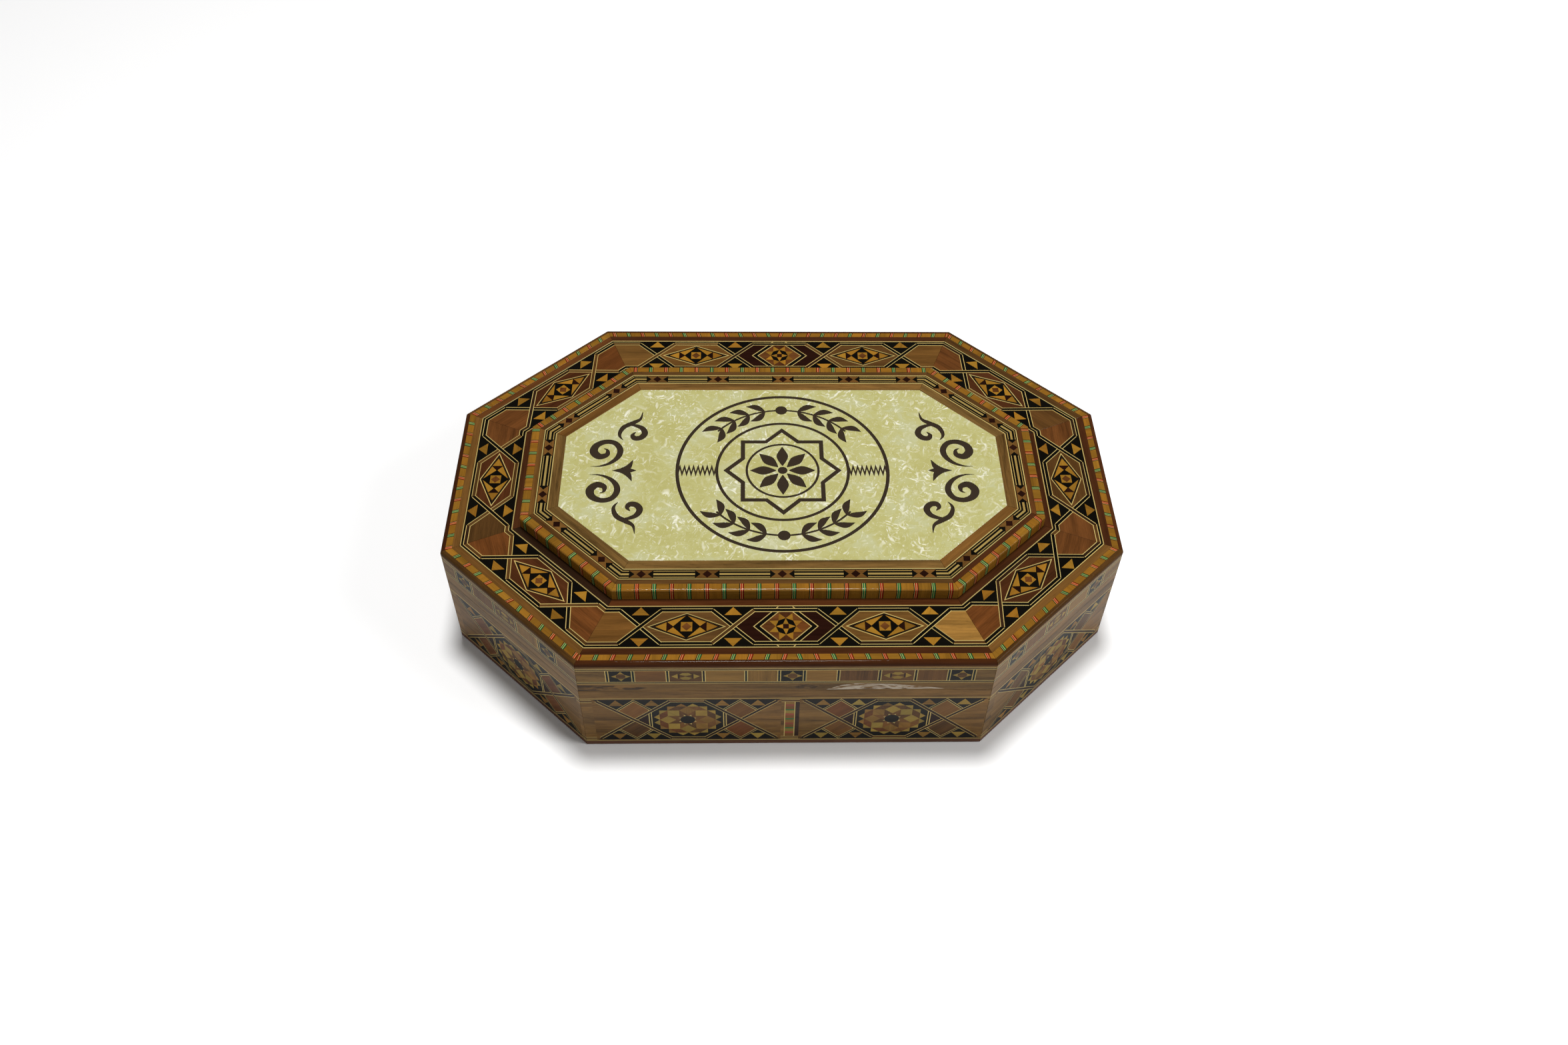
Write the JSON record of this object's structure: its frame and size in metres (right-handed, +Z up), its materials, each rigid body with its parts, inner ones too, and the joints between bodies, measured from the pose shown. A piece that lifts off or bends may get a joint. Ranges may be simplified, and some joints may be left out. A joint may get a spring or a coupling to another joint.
{
  "type": "inlaid wooden box",
  "caption": "Elongated octagonal wooden box with a hinged lid, geometric marquetry on its lid and walls, a raised pearl panel on top and a velvet lining.",
  "frame": {"origin": "middle of the box's footprint, on the surface it stands on", "axes": "+X to the right along the box's length, +Y to the back wall with the hinges, +Z up"},
  "size_m": [0.3, 0.2091, 0.0668],
  "materials": {
    "felt": "matt wool felt",
    "plywood": "sanded",
    "wall_board": "sanded",
    "marquetry": "glossy clear lacquer",
    "foot_wood": "glossy clear lacquer",
    "dark_wood": "glossy clear lacquer",
    "striped_wood": "glossy clear lacquer",
    "plain_wood": "glossy clear lacquer",
    "light_line": "glossy clear lacquer",
    "walnut": "glossy clear lacquer",
    "pearl": "polished pearl sheet",
    "velvet": "short-pile velvet",
    "brass": "polished, slightly tarnished"
  },
  "bodies": {
    "base": {"felt_pad": "felt", "bottom_board": "plywood", "foot_strips": "foot_wood", "base_floor_lining": "velvet", "base_wall_lining": "velvet", "base_wall_front": "wall_board", "base_wall_front_right": "wall_board", "base_wall_right": "wall_board", "base_wall_back_right": "wall_board", "base_wall_back": "wall_board", "base_wall_back_left": "wall_board", "base_wall_left": "wall_board", "base_wall_front_left": "wall_board", "base_marquetry_front": "marquetry", "base_marquetry_front_right": "marquetry", "base_marquetry_right": "marquetry", "base_marquetry_back_right": "marquetry", "base_marquetry_back": "marquetry", "base_marquetry_back_left": "marquetry", "base_marquetry_left": "marquetry", "base_marquetry_front_left": "marquetry", "base_hinge_leaf_left": "brass", "base_hinge_leaf_right": "brass", "hinge_pins": "brass", "base_hinge_screws": "brass"},
    "lid": {"lid_wall_front": "wall_board", "lid_wall_front_right": "wall_board", "lid_wall_right": "wall_board", "lid_wall_back_right": "wall_board", "lid_wall_back": "wall_board", "lid_wall_back_left": "wall_board", "lid_wall_left": "wall_board", "lid_wall_front_left": "wall_board", "lid_rim_marquetry": "marquetry", "deck_board": "plywood", "edge_strips": "dark_wood", "striped_border": "striped_wood", "deck_plain_strips": "plain_wood", "wide_band_front": "marquetry", "wide_band_front_right": "marquetry", "wide_band_right": "marquetry", "wide_band_back_right": "marquetry", "wide_band_back": "marquetry", "wide_band_back_left": "marquetry", "wide_band_left": "marquetry", "wide_band_front_left": "marquetry", "deck_light_lines": "light_line", "dark_strips": "dark_wood", "plateau_board": "plywood", "striped_moulding": "striped_wood", "plateau_plain_strips": "plain_wood", "plateau_light_lines": "light_line", "narrow_band": "marquetry", "walnut_frame": "walnut", "pearl_panel": "pearl", "lid_ceiling_lining": "velvet", "lid_wall_lining": "velvet", "lid_hinge_leaf_left": "brass", "lid_hinge_leaf_right": "brass", "lid_hinge_screws": "brass"}
  },
  "joints": [
    {"name": "lid_hinge", "type": "hinge", "parent": "base", "child": "lid", "pos_m": [0, 0.1046, 0.0415], "axis": [-1, 0, 0], "range_deg": [0, 95]}
  ]
}
